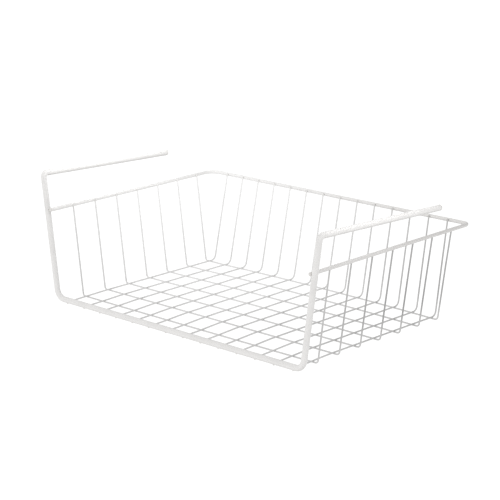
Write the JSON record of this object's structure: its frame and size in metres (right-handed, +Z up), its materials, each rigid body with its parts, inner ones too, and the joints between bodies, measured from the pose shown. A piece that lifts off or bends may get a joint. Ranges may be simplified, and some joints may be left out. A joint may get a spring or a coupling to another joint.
{
  "type": "under shelf basket",
  "caption": "Open-fronted basket of white coated wire with long arms above it that slide over a shelf board, so that it hangs below.",
  "frame": {"origin": "centre of the overall box at its bottom, on the surface that the basket stands on", "axes": "+X to the right seen from the open front, +Y from the open front to the back wall, +Z up"},
  "size_m": [0.403, 0.2668, 0.147],
  "materials": {
    "frame_coat": "satin white powder coat",
    "rim_coat": "satin white powder coat",
    "mesh_coat": "satin white powder coat"
  },
  "bodies": {
    "root": {"frame_wire": "frame_coat", "rim_wire": "rim_coat", "long_wire_01": "mesh_coat", "long_wire_02": "mesh_coat", "long_wire_03": "mesh_coat", "long_wire_04": "mesh_coat", "long_wire_05": "mesh_coat", "long_wire_06": "mesh_coat", "long_wire_07": "mesh_coat", "long_wire_08": "mesh_coat", "long_wire_09": "mesh_coat", "long_wire_10": "mesh_coat", "long_wire_11": "mesh_coat", "long_wire_12": "mesh_coat", "long_wire_13": "mesh_coat", "long_wire_14": "mesh_coat", "cross_wire_01": "mesh_coat", "cross_wire_02": "mesh_coat", "cross_wire_03": "mesh_coat", "cross_wire_04": "mesh_coat", "cross_wire_05": "mesh_coat", "cross_wire_06": "mesh_coat", "cross_wire_07": "mesh_coat"}
  },
  "joints": []
}
